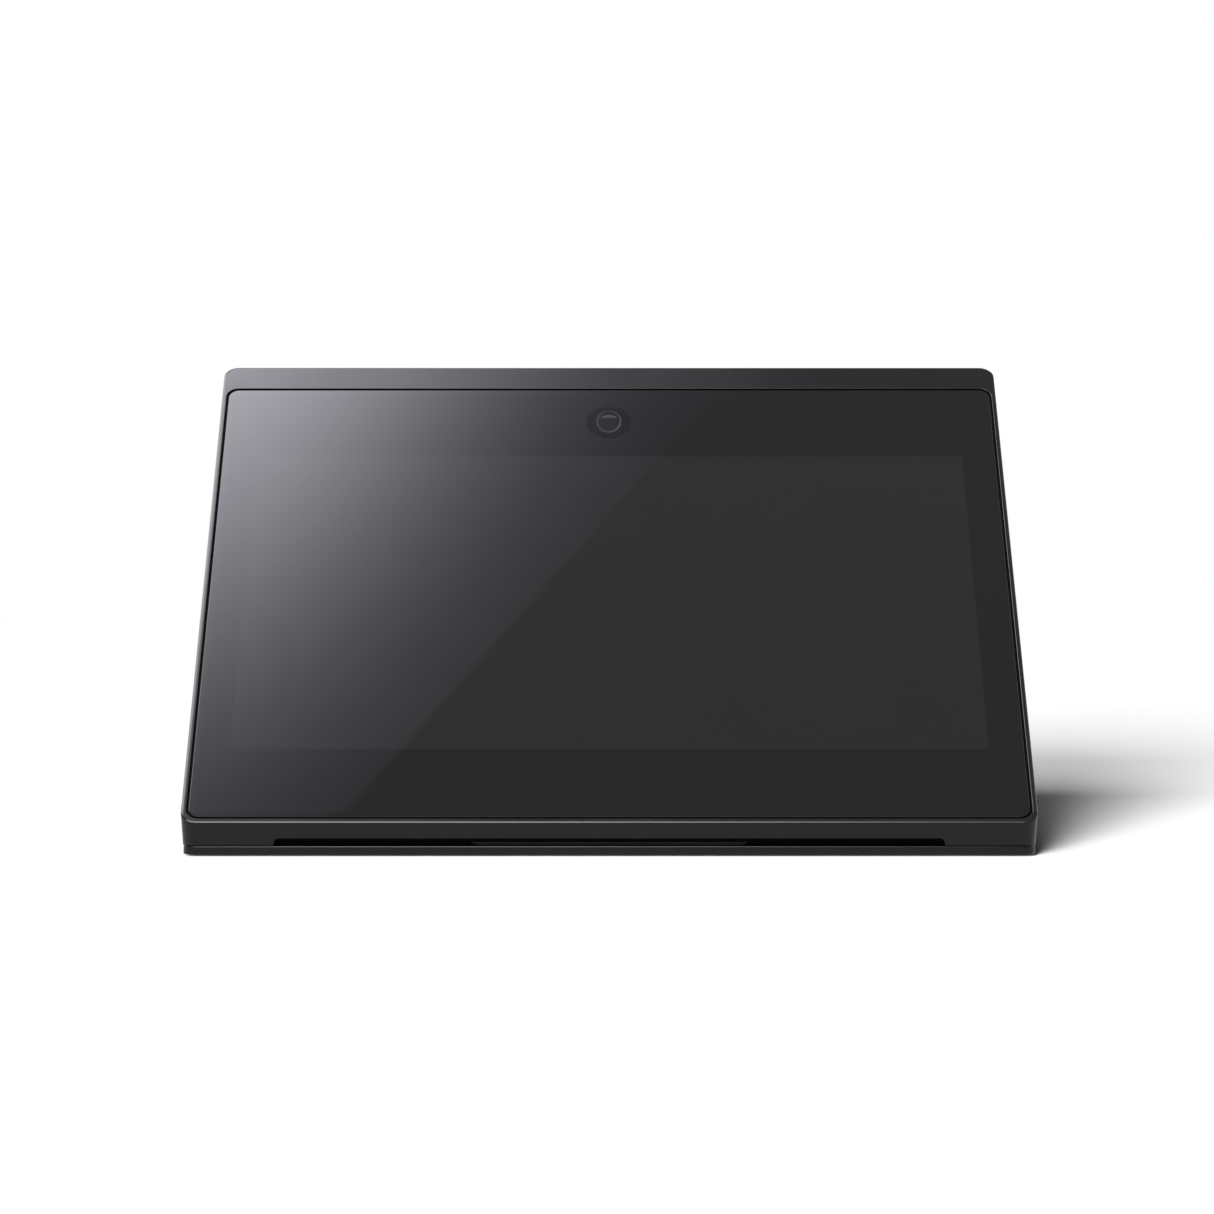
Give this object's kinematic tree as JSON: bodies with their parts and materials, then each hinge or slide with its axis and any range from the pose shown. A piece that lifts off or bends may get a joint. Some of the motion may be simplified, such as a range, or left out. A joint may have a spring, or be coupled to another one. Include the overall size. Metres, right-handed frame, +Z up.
{
  "type": "smart display",
  "caption": "Wedge-shaped desktop smart display: a glass screen face tilted back 45 degrees in a thin dark metal bezel, with a camera, speaker slot, side buttons and rear ports.",
  "frame": {"origin": "on the table, under the middle of the footprint", "axes": "+Z up, +X to the right of someone facing the screen, -Y towards that person; the screen's normal leans back 45 degrees from -Y towards +Z"},
  "size_m": [0.383, 0.232, 0.231],
  "materials": {
    "graphite_metal": "dark anodised satin",
    "shell_plastic": "fine matt grain",
    "matt_black_plastic": "matt",
    "button_plastic": "satin",
    "cover_glass": "gloss black, printed behind",
    "lens_glass": "gloss",
    "panel_glass": "satin",
    "acrylic": "clear",
    "adhesive_foam": "foam tape",
    "zinc_steel": "zinc plated",
    "dark_metal": "black coated steel",
    "aluminium": "extruded",
    "tin_shield": "tin plated",
    "board_green": "solder mask",
    "chip_black": "moulded",
    "film_amber": "polyimide film",
    "rubber": "matt",
    "cone_paper": "coated paper",
    "speaker_plastic": "moulded black"
  },
  "bodies": {
    "housing": {"front_bezel": "graphite_metal", "base_plate": "graphite_metal", "main_shell": "shell_plastic", "rear_cover": "shell_plastic", "slot_divider": "matt_black_plastic", "camera_hood": "matt_black_plastic", "cover_glass": "cover_glass", "camera_lens": "lens_glass", "lcd_panel": "panel_glass", "light_guide": "acrylic", "glass_adhesive": "adhesive_foam", "backlight_tray": "zinc_steel", "display_plate": "zinc_steel", "bracket_left": "zinc_steel", "bracket_right": "zinc_steel", "camera_bracket": "zinc_steel", "camera_barrel": "dark_metal", "woofer_frame": "dark_metal", "speaker_frame_left": "dark_metal", "speaker_frame_right": "dark_metal", "rear_screw_1": "dark_metal", "rear_screw_2": "dark_metal", "rear_screw_3": "dark_metal", "rear_screw_4": "dark_metal", "base_screw_1": "dark_metal", "base_screw_2": "dark_metal", "base_screw_3": "dark_metal", "base_screw_4": "dark_metal", "heat_sink": "aluminium", "wireless_module": "tin_shield", "hdmi_jack": "tin_shield", "usb_c_jack": "tin_shield", "mainboard": "board_green", "power_board": "board_green", "button_board": "board_green", "microphone_board": "board_green", "camera_board": "board_green", "soc_chip": "chip_black", "display_ribbon": "film_amber", "camera_ribbon": "film_amber", "antenna_left": "film_amber", "antenna_right": "film_amber", "foot_front_left": "rubber", "foot_front_right": "rubber", "foot_rear_left": "rubber", "foot_rear_right": "rubber", "speaker_lead_left": "rubber", "speaker_lead_right": "rubber", "woofer_box": "speaker_plastic", "speaker_box_left": "speaker_plastic", "speaker_box_right": "speaker_plastic", "dc_jack": "speaker_plastic"},
    "power_button": {"power_button": "button_plastic"},
    "volume_up_button": {"volume_up_button": "button_plastic"},
    "volume_down_button": {"volume_down_button": "button_plastic"},
    "privacy_switch": {"privacy_switch": "button_plastic"},
    "woofer_cone": {"woofer_cone": "cone_paper"},
    "speaker_cone_left": {"speaker_cone_left": "cone_paper"},
    "speaker_cone_right": {"speaker_cone_right": "cone_paper"}
  },
  "joints": [
    {"name": "power_button_press", "type": "slide", "parent": "housing", "child": "power_button", "axis": [-1, 0, 0], "range_m": [0, 0.0006], "stiffness_N_per_m": 600},
    {"name": "volume_up_button_press", "type": "slide", "parent": "housing", "child": "volume_up_button", "axis": [-1, 0, 0], "range_m": [0, 0.0006], "stiffness_N_per_m": 600},
    {"name": "volume_down_button_press", "type": "slide", "parent": "housing", "child": "volume_down_button", "axis": [-1, 0, 0], "range_m": [0, 0.0006], "stiffness_N_per_m": 600},
    {"name": "privacy_slide", "type": "slide", "parent": "housing", "child": "privacy_switch", "axis": [0, 0, -1], "range_m": [0, 0.006]},
    {"name": "woofer_stroke", "type": "slide", "parent": "housing", "child": "woofer_cone", "axis": [0, 1, 0], "range_m": [-0.0015, 0.0015], "stiffness_N_per_m": 800},
    {"name": "speaker_stroke_left", "type": "slide", "parent": "housing", "child": "speaker_cone_left", "axis": [0, -1, 0], "range_m": [-0.0004, 0.0004], "stiffness_N_per_m": 600},
    {"name": "speaker_stroke_right", "type": "slide", "parent": "housing", "child": "speaker_cone_right", "axis": [0, -1, 0], "range_m": [-0.0004, 0.0004], "stiffness_N_per_m": 600}
  ]
}
